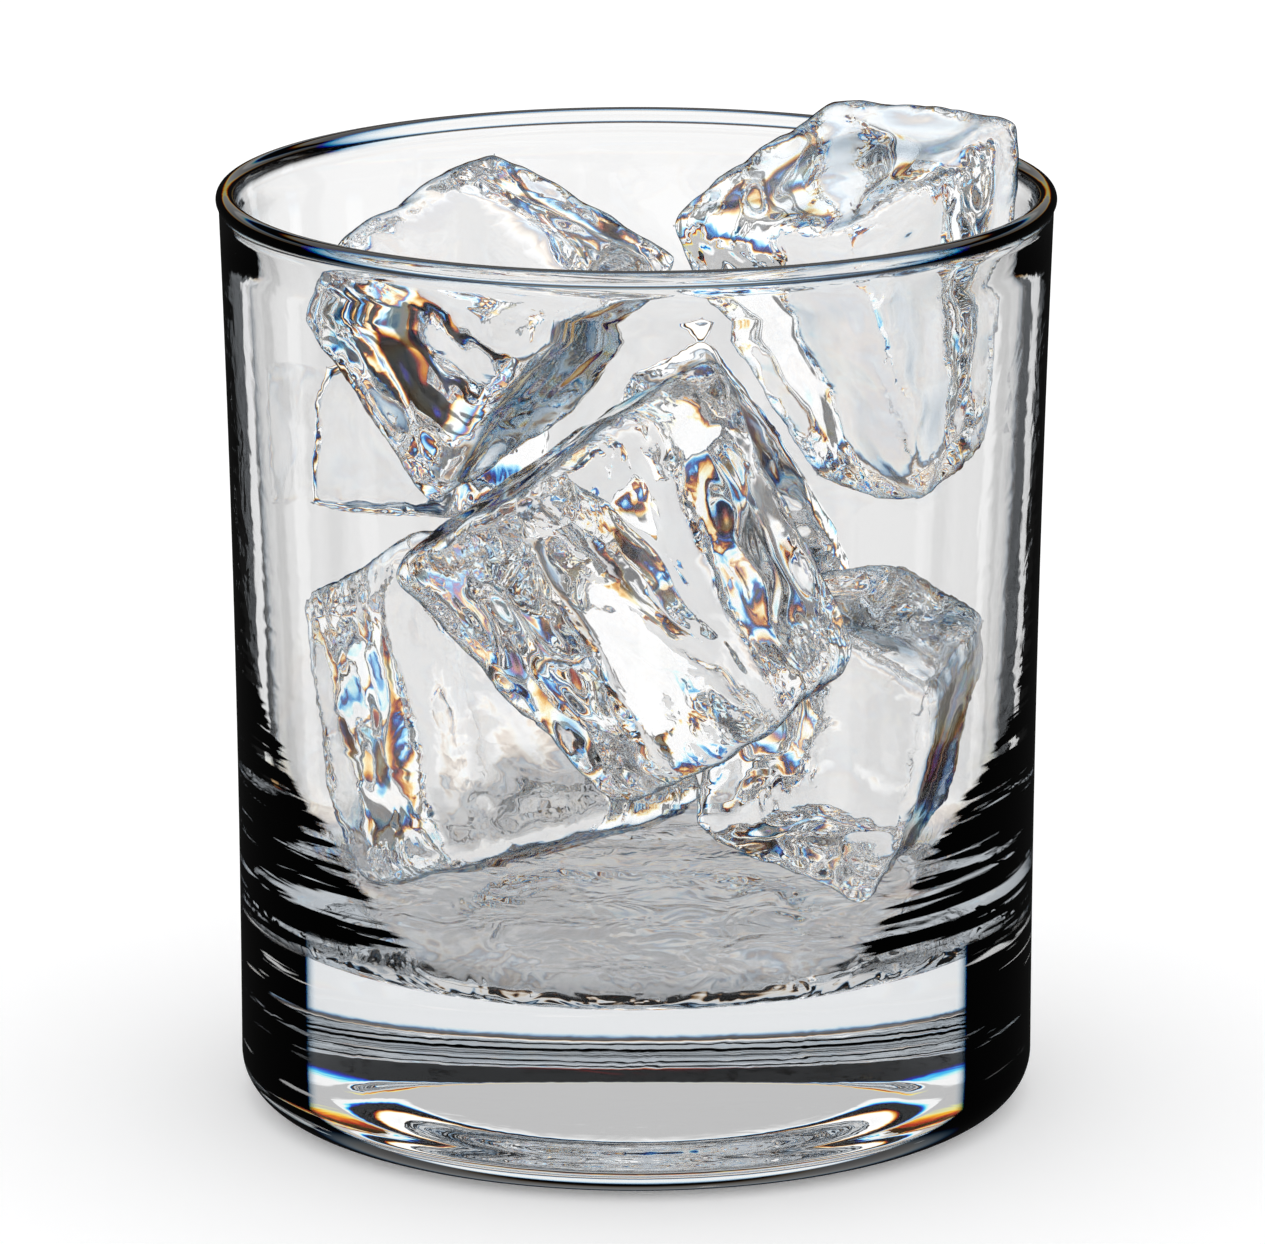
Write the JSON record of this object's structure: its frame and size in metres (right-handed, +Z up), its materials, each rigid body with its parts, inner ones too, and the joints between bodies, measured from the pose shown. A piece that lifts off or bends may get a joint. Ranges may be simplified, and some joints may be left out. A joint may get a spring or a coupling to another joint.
{
  "type": "glass of ice cubes",
  "caption": "Clear heavy-based straight-sided drinking glass filled with loose blocks of clear ice that rise a little over the rim",
  "frame": {"origin": "centre of the foot, on the surface the glass stands on", "axes": "+Z up along the glass's axis, towards the mouth; -Y towards the viewer of the shown side; +X to the viewer's right"},
  "size_m": [0.084, 0.084, 0.101],
  "materials": {
    "clear_glass": "clear, fire-polished, gloss",
    "clear_ice": "clear, wet, half-melted"
  },
  "bodies": {
    "root": {"tumbler": "clear_glass", "ice_leaning": "clear_ice", "ice_upper_left": "clear_ice", "ice_back_left": "clear_ice", "ice_front": "clear_ice", "ice_middle": "clear_ice", "ice_lower_left": "clear_ice", "ice_lower_right": "clear_ice"}
  },
  "joints": []
}
